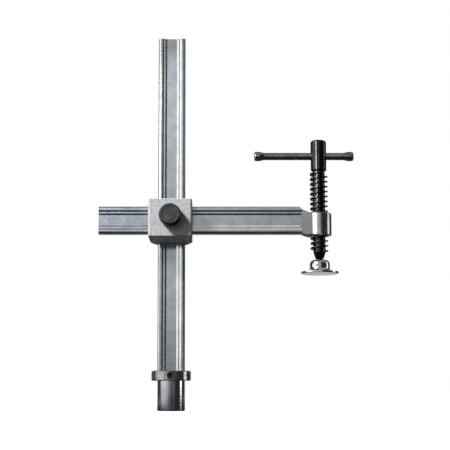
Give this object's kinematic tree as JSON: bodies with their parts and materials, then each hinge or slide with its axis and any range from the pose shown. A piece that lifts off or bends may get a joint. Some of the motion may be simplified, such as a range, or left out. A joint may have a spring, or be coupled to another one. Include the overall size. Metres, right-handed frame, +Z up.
{
  "type": "welding table fixture clamp",
  "caption": "Screw clamp with a table plug and stop collar, an upright rail, a locking cross block and an arm whose spindle ends in a swivel pad.",
  "frame": {"origin": "on the plug's axis, at the collar's underside, which rests on the table top", "axes": "+Z up along the upright, +X along the arm to the spindle, -Y towards the knob"},
  "size_m": [0.256, 0.0866, 0.382],
  "materials": {
    "rail_steel": "bright drawn steel",
    "ground_steel": "ground steel",
    "collar_steel": "turned steel",
    "dark_screw": "black oxide",
    "block_steel": "fine blasted steel",
    "hardened_pin": "hardened steel",
    "dark_knob": "black oxide",
    "hub_steel": "polished steel",
    "black_spindle": "black oxide, oiled",
    "bar_steel": "dark burnished steel",
    "liner_plastic": "natural nylon",
    "pad_steel": "polished steel"
  },
  "bodies": {
    "post": {"vertical_rail": "rail_steel", "table_plug": "ground_steel", "stop_collar": "collar_steel", "collar_screw": "dark_screw"},
    "block": {"cross_block": "block_steel", "transfer_pin": "hardened_pin"},
    "shoe": {"brake_shoe": "hardened_pin"},
    "knob": {"lock_knob": "dark_knob", "knob_stud": "dark_screw"},
    "arm": {"arm_rail": "rail_steel", "spindle_hub": "hub_steel"},
    "seat": {"ball_seat": "liner_plastic"},
    "screw": {"spindle": "black_spindle"},
    "bar": {"tommy_bar": "bar_steel"},
    "ring": {"ball_ring": "liner_plastic"},
    "pad": {"swivel_pad": "pad_steel"}
  },
  "joints": [
    {"name": "block_slide", "type": "slide", "parent": "post", "child": "block", "axis": [0, 0, 1], "range_m": [-0.105, 0.175]},
    {"name": "arm_slide", "type": "slide", "parent": "block", "child": "arm", "axis": [1, 0, 0], "range_m": [-0.108, 0.05]},
    {"name": "shoe_feed", "type": "slide", "parent": "block", "child": "shoe", "axis": [0, 1, 0], "range_m": [-0.0015, 0]},
    {"name": "knob_turn", "type": "hinge", "parent": "shoe", "child": "knob", "pos_m": [0, -0.06, 0.1591], "axis": [0, 1, 0], "range_deg": [-360, 0]},
    {"name": "spindle_feed", "type": "slide", "parent": "arm", "child": "seat", "axis": [0, 0, 1], "range_m": [-0.04, 0.02]},
    {"name": "spindle_turn", "type": "hinge", "parent": "seat", "child": "screw", "pos_m": [0.1483, -0.0203, 0.1144], "axis": [0, 0, 1], "range_deg": [-2880, 1440]},
    {"name": "bar_slide", "type": "slide", "parent": "screw", "child": "bar", "axis": [1, 0, 0], "range_m": [-0.015, 0.0465]},
    {"name": "pad_rock", "type": "hinge", "parent": "seat", "child": "ring", "pos_m": [0.1483, -0.0203, 0.1144], "axis": [1, 0, 0], "range_deg": [-8, 8]},
    {"name": "pad_tilt", "type": "hinge", "parent": "ring", "child": "pad", "pos_m": [0.1483, -0.0203, 0.1144], "axis": [0, 1, 0], "range_deg": [-8, 8]}
  ],
  "couplings": [
    {"joint": "spindle_feed", "follows": "spindle_turn", "m_per_rad": 0.00079577}
  ]
}
